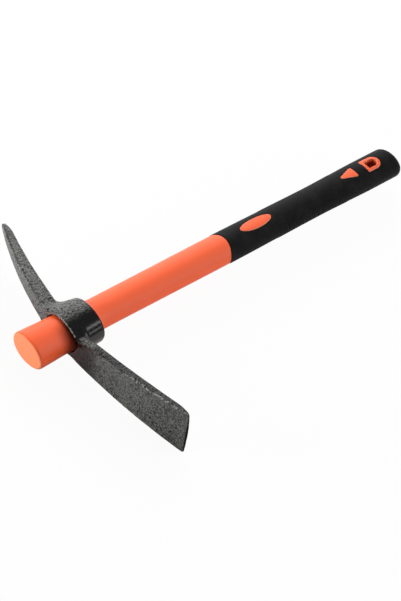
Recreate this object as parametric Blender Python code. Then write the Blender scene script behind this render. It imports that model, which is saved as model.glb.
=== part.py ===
"""A small pick mattock: one forged head on a cored handle with a soft grip.

Y runs along the handle from its head end to the butt, X points along the blade and Z is
square to the plane that the tine, the blade and the handle share. The origin is the middle
of the handle's flat head end. All sizes are in metres.
"""

import math

import bmesh
import bpy
from mathutils import Vector

# Handle as a whole, and its half sizes at the places that shape it: each is an egg-shaped
# section's reach towards the blade, towards the tine and to the flat sides
HANDLE_LENGTH = 0.4008
STUB_LENGTH = 0.0323
NECK_RUN = 0.010
END_HALF = (0.0191, 0.0167, 0.0134)
SEAT_HALF = (0.0180, 0.0159, 0.0126)
NECK_HALF = (0.0143, 0.0143, 0.01025)
GRIP_FRONT_HALF = (0.0149, 0.0149, 0.0107)
WAIST_HALF = (0.0142, 0.0142, 0.0101)
SWELL_HALF = (0.0154, 0.0154, 0.0110)
BUTT_HALF = (0.0154, 0.0154, 0.0110)
WAIST_FROM_BUTT = 0.100
SWELL_FROM_BUTT = 0.034
END_EDGE_RADIUS = 0.0020

# Soft grip over the jacket
GRIP_LENGTH = 0.2005
GRIP_WALL = 0.0020
GRIP_PROUD = 0.0003
GRIP_EDGE_SWEEP = 0.0045
GRIP_EDGE_CHAMFER = 0.0005
BUTT_WALL = 0.0032
BUTT_RADIUS = 0.0068

# Windows in the grip, where the jacket shows
OVAL_FROM_FRONT = 0.0345
OVAL_HALF_LENGTH = 0.0168
OVAL_HALF_WIDTH = 0.0055
TRIANGLE_FROM_BUTT = 0.0690
TRIANGLE_LENGTH = 0.0200
TRIANGLE_HALF_WIDTH = 0.0063
TRIANGLE_CORNER_RADIUS = 0.0014
HANGER_FROM_BUTT = 0.0375
HANGER_LENGTH = 0.0180
HANGER_HALF_WIDTH = 0.0073
HANGER_CORNER_RADIUS = 0.0006
HANGER_RIM = 0.0030

# Fibreglass core inside the jacket, and the holes of the pins that held it in the mould
CORE_HALF = (0.0094, 0.0094, 0.0056)
CORE_COVER = 0.0060
CORE_TO_HANGER = 0.0060
LOCATOR_RADIUS = 0.0020
LOCATOR_FROM_WINDOW = 0.0080

# Eye of the forged head, with its two rims and the lead-in of its mouth
EYE_DEPTH = 0.0270
EYE_FRONT_HALF = (0.0235, 0.0214, 0.0156)
EYE_BACK_HALF = (0.0217, 0.0212, 0.0156)
EYE_FRONT_EDGE = 0.0008
EYE_BACK_EDGE = 0.0015
MOUTH_FLARE = 0.0009
MOUTH_DEPTH = 0.0060

# Pick tine: reach from the handle's axis, slope at the eye, bend, its sections and how it
# tapers, and what the section loses in the rounded nose
TINE_REACH = 0.1213
TINE_START = 0.0260
TINE_SLOPE = math.radians(11.5)
TINE_BEND = math.radians(15.0)
TINE_ROOT_HALF_WIDTH = 0.0078
TINE_ROOT_THICKNESS = 0.0120
TINE_TIP_HALF_WIDTH = 0.0030
TINE_TIP_THICKNESS = 0.0056
TINE_TAPER_POWER = 1.45
TINE_NOSE_LENGTH = 0.0150
TINE_NOSE_DROP = (0.0010, 0.0026)
TINE_FRONT_SETBACK = 0.0016
TINE_CORNER = 0.0016

# Mattock blade: reach from the handle's axis, slope at the eye, bend, and its sections
BLADE_REACH = 0.1336
BLADE_START = 0.0240
BLADE_SLOPE = math.radians(2.4)
BLADE_BEND = math.radians(9.7)
BLADE_ROOT_HALF_WIDTH = 0.0139
BLADE_EDGE_HALF_WIDTH = 0.0214
BLADE_ROOT_THICKNESS = 0.0074
BLADE_HEEL_THICKNESS = 0.0046
BLADE_TAPER_POWER = 3.0
BLADE_BEVEL_LENGTH = 0.0115
BLADE_EDGE_THICKNESS = 0.0006
BLADE_EDGE_BULGE = 0.0010
BLADE_CORNER_RADIUS = 0.0013
BLADE_ROOT_CORNER = 0.0026
BLADE_CORNER = 0.0012
BLADE_FRONT_SETBACK = 0.0002

# Roots of the arms: how far each sinks into the eye, its swell in width and thickness, and
# how far they stay behind the eye's front rim
TINE_ROOT_SINK = 0.0100
TINE_ROOT_SWELL = (0.0020, 0.0075)
BLADE_ROOT_SINK = 0.0150
BLADE_ROOT_SWELL = (-0.0012, 0.0060)
ROOT_LEAST_SETBACK = 0.0002

# Clearance between pieces that touch, and the smallest gap between a mesh's points
FIT_GAP = 0.0003
MERGE_DISTANCE = 0.00001

# How finely round forms are cut, and the spacing of the rings along the handle
ROUND_STEPS = 40
LOCATOR_STEPS = 20
ARC_STEPS = 8
ARCH_STEPS = 15
ARM_STATIONS = 12
BLADE_STRIPS = 5
CORNER_STEPS = 3
BUTT_STEPS = 6
STATION_SPACING = 0.0150
FLARE_SPACING = 0.0060
EYE_SPACING = 0.0038
STEP_LEAD = 0.0075
FULLEST_CORNER = 0.49
SMOOTH_ANGLE = math.radians(35.0)

EYE_BACK = STUB_LENGTH + EYE_DEPTH
GRIP_FRONT = HANDLE_LENGTH - GRIP_LENGTH
JACKET_END = HANDLE_LENGTH - BUTT_WALL
CORE_END = HANDLE_LENGTH - HANGER_FROM_BUTT - CORE_TO_HANGER
TINE_ARM = (TINE_START, TINE_REACH, TINE_SLOPE, TINE_BEND, STUB_LENGTH + TINE_FRONT_SETBACK)
BLADE_ARM = (BLADE_START, BLADE_REACH, BLADE_SLOPE, BLADE_BEND, STUB_LENGTH + BLADE_FRONT_SETBACK)


def clear_scene():
    """Remove every object, so that the script always starts from nothing."""
    for old in list(bpy.data.objects):
        bpy.data.objects.remove(old, do_unlink=True)


def make_collection(name):
    """Return a new collection linked to the scene."""
    collection = bpy.data.collections.new(name)
    bpy.context.scene.collection.children.link(collection)
    return collection


def make_material(name, colour, roughness, metallic):
    """Return a Principled BSDF material."""
    material = bpy.data.materials.new(name)
    material.use_nodes = True
    shader = material.node_tree.nodes["Principled BSDF"]
    shader.inputs["Base Color"].default_value = (*colour, 1.0)
    shader.inputs["Roughness"].default_value = roughness
    shader.inputs["Metallic"].default_value = metallic
    return material


def smoothstep(share):
    """Ease from 0 to 1 with no slope at either end."""
    share = min(max(share, 0.0), 1.0)
    return share * share * (3.0 - 2.0 * share)


def mix(start, end, share):
    """Return the value that lies a share of the way from start to end."""
    return start + (end - start) * share


def grown(half, grow):
    """Return an oval's half sizes grown all round."""
    return tuple(size + grow for size in half)


def between(first, second, share):
    """Return the half sizes that lie a share of the way from one oval's to another's."""
    return tuple(mix(start, end, share) for start, end in zip(first, second))


def handle_half(y, inset=0.0):
    """Return the handle's half sizes at one place along Y, less an inset."""
    stations = [
        (0.0, END_HALF),
        (STUB_LENGTH, SEAT_HALF),
        (EYE_BACK + NECK_RUN, NECK_HALF),
        (GRIP_FRONT, GRIP_FRONT_HALF),
        (HANDLE_LENGTH - WAIST_FROM_BUTT, WAIST_HALF),
        (HANDLE_LENGTH - SWELL_FROM_BUTT, SWELL_HALF),
        (HANDLE_LENGTH, BUTT_HALF),
    ]
    half = END_HALF
    for (start_y, start), (end_y, end) in zip(stations, stations[1:]):
        if y > start_y:
            half = between(start, end, smoothstep((y - start_y) / (end_y - start_y)))
    return grown(half, -inset)


def eye_half(y, inset=0.0):
    """Return the half sizes of the eye's outside at one place along Y, less an inset."""
    return grown(between(EYE_FRONT_HALF, EYE_BACK_HALF, (y - STUB_LENGTH) / EYE_DEPTH), -inset)


def oval_ring(half, y, sweep=0.0):
    """Return an egg-shaped ring round the Y axis, its two sides swept towards the head."""
    ring = []
    for step in range(ROUND_STEPS):
        angle = 2.0 * math.pi * step / ROUND_STEPS
        side = math.cos(angle)
        reach = half[0] if side > 0.0 else half[1]
        ring.append(Vector((reach * side, y - sweep * side * side, half[2] * math.sin(angle))))
    return ring


def spaced(start, end, spacing=STATION_SPACING):
    """Return evenly spaced places from start to end, both included."""
    count = max(1, math.ceil((end - start) / spacing))
    return [mix(start, end, step / count) for step in range(count + 1)]


def rounded_end(half_at, end, radius, inset=0.0, steps=CORNER_STEPS):
    """Return rings that close an oval bar at end with a rounded edge.

    half_at gives the bar's half sizes at a place along Y, less an inset. A negative radius
    closes the bar's low end, in the order from the cap inwards.
    """
    rings = []
    for step in range(steps + 1):
        angle = 0.5 * math.pi * step / steps
        y = end - radius * (1.0 - math.sin(angle))
        edge = abs(radius) * (1.0 - math.cos(angle))
        rings.append(oval_ring(half_at(y, inset + edge), y))
    if radius < 0.0:
        rings.reverse()
    return rings


def loft(name, rings, collection, zip_end=False):
    """Skin a row of rings that have the same number of points, and close both ends.

    The first end gets a flat cap. So does the last, unless zip_end joins the ring's first
    half to its second in a strip of quads, as a bowed edge needs.
    """
    mesh = bpy.data.meshes.new(name)
    shape = bmesh.new()
    loops = [[shape.verts.new(point) for point in ring] for ring in rings]
    for low, high in zip(loops, loops[1:]):
        for index in range(len(low)):
            after = (index + 1) % len(low)
            shape.faces.new((low[index], low[after], high[after], high[index]))
    shape.faces.new(loops[0])
    last = loops[-1]
    if zip_end:
        for index in range(len(last) // 2 - 1):
            shape.faces.new((last[index], last[index + 1], last[-2 - index], last[-1 - index]))
    else:
        shape.faces.new(last)
    bmesh.ops.recalc_face_normals(shape, faces=shape.faces)
    shape.to_mesh(mesh)
    shape.free()
    piece = bpy.data.objects.new(name, mesh)
    collection.objects.link(piece)
    return piece


def arc(centre, radius, start, end, steps=ARC_STEPS):
    """Return points on an arc in the XY plane, angles in radians."""
    points = []
    for step in range(steps + 1):
        angle = mix(start, end, step / steps)
        points.append((centre[0] + radius * math.cos(angle), centre[1] + radius * math.sin(angle)))
    return points


def oval_outline(grow=0.0):
    """Return the oval window's outline, grown all round."""
    centre = GRIP_FRONT + OVAL_FROM_FRONT
    steps = 4 * ARC_STEPS
    points = []
    for step in range(steps):
        angle = 2.0 * math.pi * step / steps
        x = (OVAL_HALF_WIDTH + grow) * math.cos(angle)
        points.append((x, centre + (OVAL_HALF_LENGTH + grow) * math.sin(angle)))
    return points


def triangle_outline(grow=0.0):
    """Return the triangular window's outline, its tip towards the head."""
    tip = HANDLE_LENGTH - TRIANGLE_FROM_BUTT
    lean = math.atan2(TRIANGLE_HALF_WIDTH, TRIANGLE_LENGTH)
    radius = TRIANGLE_CORNER_RADIUS
    base_y = tip + TRIANGLE_LENGTH - radius
    base_x = (base_y - tip) * math.tan(lean) - radius / math.cos(lean)
    tip_centre = (0.0, tip + radius / math.sin(lean))
    size = radius + grow
    points = arc((base_x, base_y), size, -lean, 0.5 * math.pi, CORNER_STEPS)
    points += arc((-base_x, base_y), size, 0.5 * math.pi, math.pi + lean, CORNER_STEPS)
    points += arc(tip_centre, size, math.pi + lean, 2.0 * math.pi - lean, CORNER_STEPS)
    return points


def hanger_outline(grow=0.0):
    """Return the outline round the hanging hole: flat to the head, arched to the butt."""
    flat = HANDLE_LENGTH - HANGER_FROM_BUTT
    radius = HANGER_CORNER_RADIUS
    arch_y = flat + HANGER_LENGTH - HANGER_HALF_WIDTH
    corner_x = HANGER_HALF_WIDTH - radius
    points = arc((0.0, arch_y), HANGER_HALF_WIDTH + grow, 0.0, math.pi, ARCH_STEPS)
    low = flat + radius
    points += arc((-corner_x, low), radius + grow, math.pi, 1.5 * math.pi, CORNER_STEPS)
    points += arc((corner_x, low), radius + grow, 1.5 * math.pi, 2.0 * math.pi, CORNER_STEPS)
    return points


def hole_outline():
    """Return the hanging hole's outline, inside the hanger's rim."""
    flat = HANDLE_LENGTH - HANGER_FROM_BUTT + HANGER_RIM
    half = HANGER_HALF_WIDTH - HANGER_RIM
    arch_y = flat + HANGER_LENGTH - 2.0 * HANGER_RIM - half
    radius = HANGER_CORNER_RADIUS
    low = flat + radius
    points = arc((0.0, arch_y), half, 0.0, math.pi, ARCH_STEPS)
    points += arc((radius - half, low), radius, math.pi, 1.5 * math.pi, CORNER_STEPS)
    points += arc((half - radius, low), radius, 1.5 * math.pi, 2.0 * math.pi, CORNER_STEPS)
    return points


def prism(name, outlines, collection):
    """Extrude flat outlines right through the handle along Z, as one closed mesh."""
    depth = END_HALF[2] + SWELL_HALF[2]
    curve = bpy.data.curves.new(name, "CURVE")
    curve.dimensions = "2D"
    curve.fill_mode = "BOTH"
    curve.extrude = depth
    for outline in outlines:
        spline = curve.splines.new("POLY")
        spline.points.add(len(outline) - 1)
        for point, (x, y) in zip(spline.points, outline):
            point.co = (x, y, 0.0, 1.0)
        spline.use_cyclic_u = True
    drawn = bpy.data.objects.new(name + "_curve", curve)
    collection.objects.link(drawn)
    bpy.context.view_layer.update()
    graph = bpy.context.evaluated_depsgraph_get()
    mesh = bpy.data.meshes.new_from_object(drawn.evaluated_get(graph))
    mesh.name = name
    shape = bmesh.new()
    shape.from_mesh(mesh)
    bmesh.ops.remove_doubles(shape, verts=shape.verts, dist=MERGE_DISTANCE)
    bmesh.ops.recalc_face_normals(shape, faces=shape.faces)
    shape.to_mesh(mesh)
    shape.free()
    piece = bpy.data.objects.new(name, mesh)
    piece.matrix_world = drawn.matrix_world
    collection.objects.link(piece)
    bpy.data.objects.remove(drawn, do_unlink=True)
    bpy.data.curves.remove(curve)
    return piece


def make_guide(piece):
    """Mark an object as a cutter or an operand that isn't itself part of the tool."""
    piece.hide_render = True
    piece.display_type = "WIRE"
    return piece


def combine(piece, operand, operation):
    """Add an exact Boolean of piece with a guide object."""
    modifier = piece.modifiers.new(operation.title() + " " + operand.name, "BOOLEAN")
    modifier.operation = operation
    modifier.solver = "EXACT"
    modifier.object = make_guide(operand)


def finish(piece, material):
    """Give a piece its material and smooth shading that stops at real edges."""
    piece.data.materials.clear()
    piece.data.materials.append(material)
    piece.data.shade_smooth()
    piece.data.set_sharp_from_angle(angle=SMOOTH_ANGLE)


def slim_rings(grow=0.0):
    """Return the rings of the jacket's slim stretch, from past the step to the closed end."""
    end = JACKET_END + grow
    radius = BUTT_RADIUS - BUTT_WALL
    inset = GRIP_WALL - grow
    start = GRIP_FRONT + STATION_SPACING
    rings = [oval_ring(handle_half(y, inset), y) for y in spaced(start, end - radius)[:-1]]
    return rings + rounded_end(handle_half, end, radius, inset)


def build_jacket(parts, guides):
    """Build the moulded jacket: flared end, slim stretch under the grip and raised pads."""
    neck = EYE_BACK + NECK_RUN
    full_end = GRIP_FRONT - GRIP_EDGE_SWEEP - STEP_LEAD
    stretches = (
        (END_EDGE_RADIUS, STUB_LENGTH, FLARE_SPACING),
        (STUB_LENGTH, neck, FLARE_SPACING),
        (neck, full_end, STATION_SPACING),
    )
    rings = rounded_end(handle_half, 0.0, -END_EDGE_RADIUS)
    for start, end, spacing in stretches:
        rings += [oval_ring(handle_half(y), y) for y in spaced(start, end, spacing)[1:]]
    rings.append(oval_ring(handle_half(GRIP_FRONT), GRIP_FRONT, GRIP_EDGE_SWEEP))
    rings.append(oval_ring(handle_half(GRIP_FRONT, GRIP_WALL), GRIP_FRONT, GRIP_EDGE_SWEEP))
    rings += slim_rings()
    jacket = loft("handle_jacket", rings, parts)

    pad_start = GRIP_FRONT + STEP_LEAD
    pad_rings = [oval_ring(handle_half(y), y) for y in spaced(pad_start, JACKET_END)]
    pads = loft("pad_stock", pad_rings, guides)
    outlines = [oval_outline(), triangle_outline(), hanger_outline()]
    combine(pads, prism("pad_outlines", outlines, guides), "INTERSECT")
    combine(jacket, pads, "UNION")

    cavity_half = grown(CORE_HALF, FIT_GAP)
    cavity_rings = [oval_ring(cavity_half, y) for y in (CORE_COVER - FIT_GAP, CORE_END + FIT_GAP)]
    combine(jacket, loft("core_cavity", cavity_rings, guides), "DIFFERENCE")
    combine(jacket, prism("hanging_hole", [hole_outline()], guides), "DIFFERENCE")
    first = GRIP_FRONT + OVAL_FROM_FRONT + OVAL_HALF_LENGTH + LOCATOR_FROM_WINDOW
    last = HANDLE_LENGTH - TRIANGLE_FROM_BUTT - LOCATOR_FROM_WINDOW
    for index, y in enumerate((first, last)):
        combine(jacket, locator_hole(index, y, guides), "DIFFERENCE")
    return jacket


def locator_hole(index, y, guides):
    """Return the cutter of one locator hole, from inside the core's cavity down and out."""
    shape = bmesh.new()
    depth = handle_half(y)[2]
    bmesh.ops.create_cone(
        shape,
        cap_ends=True,
        segments=LOCATOR_STEPS,
        radius1=LOCATOR_RADIUS,
        radius2=LOCATOR_RADIUS,
        depth=depth,
    )
    name = f"locator_hole_{index + 1}"
    mesh = bpy.data.meshes.new(name)
    shape.to_mesh(mesh)
    shape.free()
    hole = bpy.data.objects.new(name, mesh)
    hole.location = (0.0, y, -0.5 * (depth + CORE_HALF[2]))
    guides.objects.link(hole)
    return hole


def build_core(parts):
    """Build the pultruded fibreglass bar inside the jacket."""
    rings = [oval_ring(CORE_HALF, y) for y in spaced(CORE_COVER, CORE_END, GRIP_LENGTH)]
    return loft("handle_core", rings, parts)


def build_grip(parts, guides):
    """Build the soft sleeve: curved front edge, three windows and a closed rounded butt.

    Its skin is one row of rings, out of the bore, over the front edge and back to the butt.
    """
    front = GRIP_FRONT + FIT_GAP
    inset = -GRIP_PROUD
    bore_half = handle_half(front, GRIP_WALL - FIT_GAP)
    edge_half = handle_half(front, inset + GRIP_EDGE_CHAMFER)
    rings = slim_rings(FIT_GAP)[::-1]
    rings.append(oval_ring(bore_half, front, GRIP_EDGE_SWEEP))
    rings.append(oval_ring(edge_half, front, GRIP_EDGE_SWEEP))
    rings.append(oval_ring(handle_half(front, inset), front + GRIP_EDGE_CHAMFER, GRIP_EDGE_SWEEP))
    for y in spaced(front + STATION_SPACING, HANDLE_LENGTH - BUTT_RADIUS)[:-1]:
        rings.append(oval_ring(handle_half(y, inset), y))
    rings += rounded_end(handle_half, HANDLE_LENGTH, BUTT_RADIUS, inset, BUTT_STEPS)
    grip = loft("soft_grip", rings, parts)
    outlines = [oval_outline(FIT_GAP), triangle_outline(FIT_GAP), hanger_outline(FIT_GAP)]
    combine(grip, prism("grip_windows", outlines, guides), "DIFFERENCE")
    return grip


def arm_frame(arm, share):
    """Return a point on an arm's front face, the way it runs and the way to its back.

    The face is a circular arc from x = start to x = reach, lifted along Y, whose direction
    turns from slope to slope + bend.
    """
    start, reach, slope, bend, lift = arm
    radius = (reach - start) / (math.sin(slope + bend) - math.sin(slope))
    angle = slope + bend * share
    x = start + radius * (math.sin(angle) - math.sin(slope))
    y = lift + radius * (math.cos(slope) - math.cos(angle))
    along = Vector((math.cos(angle), math.sin(angle), 0.0))
    back = Vector((-math.sin(angle), math.cos(angle), 0.0))
    return Vector((x, y, 0.0)), along, back


def bar_section(half_width, thickness, corner, face_steps=1):
    """Return a rounded rectangle as (back, across) pairs, its front side at back = 0.

    Its two wide faces are cut into face_steps strips, so that they can bend across.
    """
    corner = min(corner, FULLEST_CORNER * thickness, FULLEST_CORNER * half_width)
    flat = half_width - corner
    sides = ((corner, 1.0, 0.5 * math.pi), (thickness - corner, -1.0, 1.5 * math.pi))
    points = []
    for back, side, start in sides:
        for across, angle_start in ((side * flat, start), (-side * flat, start + 0.5 * math.pi)):
            points += arc((back, across), corner, angle_start, angle_start + 0.5 * math.pi, CORNER_STEPS)
            if across == side * flat:
                face = points[-1][0]
                shares = [step / face_steps for step in range(1, face_steps)]
                points += [(face, mix(across, -across, share)) for share in shares]
    return points


def place_section(origin, back_way, section, slides=None):
    """Turn a flat section into points in space, each slid along the arm if asked."""
    points = []
    for index, (back, across) in enumerate(section):
        point = origin + back_way * back + Vector((0.0, 0.0, across))
        if slides:
            point += slides[index]
        points.append(point)
    return points


def root_rings(frame, size, corner, sink, swell, face_steps=1):
    """Return the rings of an arm's root, which swells as it runs into the eye's wall."""
    origin, along, back_way = frame
    rings = []
    for step in range(CORNER_STEPS + 1):
        left = 1.0 - step / CORNER_STEPS
        place = origin - along * (sink * left)
        place.y = max(place.y, STUB_LENGTH + ROOT_LEAST_SETBACK)
        ease = left * left
        half_width = size[0] + swell[0] * ease
        thickness = size[1] + swell[1] * ease
        section = bar_section(half_width, thickness, corner, face_steps)
        rings.append(place_section(place, back_way, section))
    return rings


def mirror_x(rings):
    """Return rings mirrored in the handle's YZ plane."""
    return [[Vector((-point.x, point.y, point.z)) for point in ring] for ring in rings]


def tine_size(share):
    """Return the tine's half width and thickness at a share of the way along it."""
    taper = share ** TINE_TAPER_POWER
    to_tip = (1.0 - share) * (TINE_REACH - TINE_START)
    nose = max(0.0, 1.0 - to_tip / TINE_NOSE_LENGTH) ** 2
    half_width = mix(TINE_ROOT_HALF_WIDTH, TINE_TIP_HALF_WIDTH, taper)
    thickness = mix(TINE_ROOT_THICKNESS, TINE_TIP_THICKNESS, taper)
    return half_width - TINE_NOSE_DROP[0] * nose, thickness - TINE_NOSE_DROP[1] * nose


def build_tine(guides):
    """Build the pick tine: a square bar that curves to the hand and tapers to a blunt point."""
    root = arm_frame(TINE_ARM, 0.0)
    rings = root_rings(root, tine_size(0.0), TINE_CORNER, TINE_ROOT_SINK, TINE_ROOT_SWELL)
    for step in range(1, ARM_STATIONS + 1):
        share = step / ARM_STATIONS
        origin, _, back_way = arm_frame(TINE_ARM, share)
        section = bar_section(*tine_size(share), TINE_CORNER)
        rings.append(place_section(origin, back_way, section))
    return loft("pick_tine", mirror_x(rings), guides)


def blade_plan_slide(across, half_width):
    """Return how far the cutting edge lies behind its middle, at one place across it."""
    bulge = BLADE_EDGE_BULGE * (across / half_width) ** 2
    into_corner = abs(across) - (half_width - BLADE_CORNER_RADIUS)
    if into_corner > 0.0:
        depth = math.sqrt(max(BLADE_CORNER_RADIUS ** 2 - into_corner ** 2, 0.0))
        bulge += BLADE_CORNER_RADIUS - depth
    return bulge


def build_blade(guides):
    """Build the mattock blade: it widens and thins to a bevelled, slightly bowed edge."""
    size = (BLADE_ROOT_HALF_WIDTH, BLADE_ROOT_THICKNESS)
    root = arm_frame(BLADE_ARM, 0.0)
    swell = BLADE_ROOT_SWELL
    rings = root_rings(root, size, BLADE_ROOT_CORNER, BLADE_ROOT_SINK, swell, BLADE_STRIPS)
    heel_share = 1.0 - BLADE_BEVEL_LENGTH / (BLADE_REACH - BLADE_START)
    for step in range(1, ARM_STATIONS + 1):
        way = step / ARM_STATIONS
        origin, _, back_way = arm_frame(BLADE_ARM, heel_share * way)
        half_width = mix(BLADE_ROOT_HALF_WIDTH, BLADE_EDGE_HALF_WIDTH, heel_share * way)
        thickness = mix(BLADE_ROOT_THICKNESS, BLADE_HEEL_THICKNESS, way ** BLADE_TAPER_POWER)
        corner = mix(BLADE_ROOT_CORNER, BLADE_CORNER, way)
        section = bar_section(half_width, thickness, corner, BLADE_STRIPS)
        rings.append(place_section(origin, back_way, section))
    origin, along, back_way = arm_frame(BLADE_ARM, 1.0)
    section = bar_section(BLADE_EDGE_HALF_WIDTH, BLADE_EDGE_THICKNESS, BLADE_CORNER, BLADE_STRIPS)
    slides = [-along * blade_plan_slide(across, BLADE_EDGE_HALF_WIDTH) for back, across in section]
    rings.append(place_section(origin, back_way, section, slides))
    return loft("mattock_blade", rings, guides, zip_end=True)


def build_head(parts, guides):
    """Build the one-piece forging: the eye with both arms, and the hole through it."""
    rings = rounded_end(eye_half, STUB_LENGTH, -EYE_FRONT_EDGE)
    rings += rounded_end(eye_half, EYE_BACK, EYE_BACK_EDGE)
    head = loft("forged_head", rings, parts)
    combine(head, build_tine(guides), "UNION")
    combine(head, build_blade(guides), "UNION")

    places = [STUB_LENGTH - STATION_SPACING]
    places += spaced(STUB_LENGTH, EYE_BACK, EYE_SPACING)
    places.append(EYE_BACK + STATION_SPACING)
    hole_rings = []
    for y in places:
        flare = MOUTH_FLARE * (1.0 - smoothstep((y - STUB_LENGTH) / MOUTH_DEPTH))
        hole_rings.append(oval_ring(handle_half(y, -FIT_GAP - flare), y))
    combine(head, loft("eye_hole", hole_rings, guides), "DIFFERENCE")
    return head


def main():
    """Build the tool's four pieces."""
    clear_scene()
    parts = make_collection("pick_mattock")
    guides = make_collection("cutters")
    forged = make_material("painted_forging", (0.040, 0.042, 0.041), 0.45, 0.35)
    orange = make_material("orange_jacket", (0.830, 0.155, 0.055), 0.38, 0.0)
    black = make_material("black_soft_grip", (0.017, 0.018, 0.018), 0.62, 0.0)
    glass = make_material("fibreglass", (0.560, 0.520, 0.330), 0.55, 0.0)
    finish(build_head(parts, guides), forged)
    finish(build_jacket(parts, guides), orange)
    finish(build_grip(parts, guides), black)
    finish(build_core(parts), glass)


main()
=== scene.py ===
"""Looks of a small pick mattock that lies on its side: forged head, moulded handle, soft grip.

Y runs along the handle from its head end to the butt, X points along the blade and Z is square
to the flat of the tool. All sizes are in metres.
"""

import logging
import math
from collections.abc import Callable
from dataclasses import dataclass
from enum import Enum
from itertools import product

import bmesh
import bpy
import numpy as np
from mathutils import Matrix, Vector, noise


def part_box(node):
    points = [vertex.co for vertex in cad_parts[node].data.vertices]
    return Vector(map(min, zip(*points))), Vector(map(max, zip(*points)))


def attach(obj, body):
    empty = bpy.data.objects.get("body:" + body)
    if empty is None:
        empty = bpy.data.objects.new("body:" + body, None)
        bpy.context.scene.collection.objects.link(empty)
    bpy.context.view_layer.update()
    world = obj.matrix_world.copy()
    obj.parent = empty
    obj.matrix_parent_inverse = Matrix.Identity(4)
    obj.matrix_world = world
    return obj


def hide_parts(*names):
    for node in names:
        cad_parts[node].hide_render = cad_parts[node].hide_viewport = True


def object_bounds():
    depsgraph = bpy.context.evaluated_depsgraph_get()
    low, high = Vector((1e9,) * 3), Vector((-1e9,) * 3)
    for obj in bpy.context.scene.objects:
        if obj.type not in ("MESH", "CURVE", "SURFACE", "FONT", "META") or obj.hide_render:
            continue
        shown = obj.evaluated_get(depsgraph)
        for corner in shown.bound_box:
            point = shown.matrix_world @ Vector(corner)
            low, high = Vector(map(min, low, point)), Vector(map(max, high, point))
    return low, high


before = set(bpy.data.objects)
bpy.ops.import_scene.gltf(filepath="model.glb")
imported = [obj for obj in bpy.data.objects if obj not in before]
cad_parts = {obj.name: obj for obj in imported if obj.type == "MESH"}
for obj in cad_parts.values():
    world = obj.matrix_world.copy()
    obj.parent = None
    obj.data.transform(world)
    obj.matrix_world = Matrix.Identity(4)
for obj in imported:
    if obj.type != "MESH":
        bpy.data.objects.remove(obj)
CAD_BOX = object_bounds()
BODY = "root"
LOG = logging.getLogger("pick_mattock")

Grid = np.ndarray
Point = tuple[float, float]
Triple = tuple[float, float, float]
# Where an effect starts, and where it is full
Span = tuple[float, float]
# Points closer than this are one point
DOUBLES = 0.000002


class Slot(Enum):
    """Material slots of the part's record."""

    FORGING = "painted_forging"
    JACKET = "orange_jacket"
    GRIP = "black_soft_grip"
    CORE = "fibreglass"


class Wire:
    """One output in a node tree, which adds Math nodes when it is used in an expression."""

    def __init__(self, sheet: "Sheet", socket: bpy.types.NodeSocket) -> None:
        """Keep the sheet that the output is on, and the output itself."""
        self.sheet = sheet
        self.socket = socket

    def out(self, name: str | int) -> "Wire":
        """Return another output of the same node."""
        return Wire(self.sheet, self.sheet.find(self.socket.node.outputs, name))

    def __add__(self, other: "Wire | float") -> "Wire":
        """Return self + other."""
        return self.sheet.maths("ADD", self, other)

    def __sub__(self, other: "Wire | float") -> "Wire":
        """Return self - other."""
        return self.sheet.maths("SUBTRACT", self, other)

    def __mul__(self, other: "Wire | float") -> "Wire":
        """Return self * other."""
        return self.sheet.maths("MULTIPLY", self, other)

    def __truediv__(self, other: "Wire | float") -> "Wire":
        """Return self / other."""
        return self.sheet.maths("DIVIDE", self, other)

    def __rsub__(self, other: float) -> "Wire":
        """Return other - self."""
        return self.sheet.maths("SUBTRACT", other, self)

    __radd__ = __add__
    __rmul__ = __mul__


class Sheet:
    """A node tree, for a shader or for geometry, that is written as expressions."""

    def __init__(self, tree: bpy.types.NodeTree) -> None:
        """Start on an existing tree, emptied."""
        self.tree = tree
        tree.nodes.clear()

    @staticmethod
    def find(sockets: bpy.types.bpy_prop_collection, name: str | int) -> bpy.types.NodeSocket:
        """Return a socket by its place, its identifier or its name.

        Args:
            sockets: A node's inputs or outputs.
            name: Place, identifier or shown name.

        Returns:
            The first socket that matches, those that are switched off last.
        """
        if isinstance(name, int):
            return sockets[name]
        by_id = [socket for socket in sockets if socket.identifier == name]
        by_name = [socket for socket in sockets if socket.name == name and socket.enabled]
        return (by_id + by_name)[0]

    def node(
        self,
        kind: str,
        settings: dict | None = None,
        values: dict | None = None,
        out: str | int = 0,
    ) -> Wire:
        """Add a node.

        Args:
            kind: The node's type name.
            settings: Its properties, which are set first.
            values: Numbers, colours or wires for its inputs, by name, identifier or place.
            out: The output to return.

        Returns:
            The chosen output.
        """
        made = self.tree.nodes.new(kind)
        for name, value in (settings or {}).items():
            setattr(made, name, value)
        for name, value in (values or {}).items():
            socket = self.find(made.inputs, name)
            if isinstance(value, Wire):
                self.tree.links.new(value.socket, socket)
            else:
                socket.default_value = value
        return Wire(self, self.find(made.outputs, out) if made.outputs else None)

    def maths(self, operation: str, first: Wire | float, second: Wire | float = 0.0) -> Wire:
        """Add a Math node for one operation on numbers."""
        return self.node("ShaderNodeMath", {"operation": operation}, {0: first, 1: second})

    def ease(self, value: Wire, start: float, end: float) -> Wire:
        """Return a smooth step from 0 at start to 1 at end."""
        limits = {"Value": value, "From Min": start, "From Max": end}
        return self.node("ShaderNodeMapRange", {"interpolation_type": "SMOOTHSTEP"}, limits)

    def blend(self, share: Wire | float, first: Wire | tuple, second: Wire | tuple) -> Wire:
        """Return a colour that lies a share of the way from first to second."""
        values = {"Factor_Float": share, "A_Color": first, "B_Color": second}
        return self.node("ShaderNodeMix", {"data_type": "RGBA"}, values, "Result_Color")


def colour(red: float, green: float, blue: float) -> tuple[float, float, float, float]:
    """Return an opaque linear colour."""
    return red, green, blue, 1.0


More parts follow.
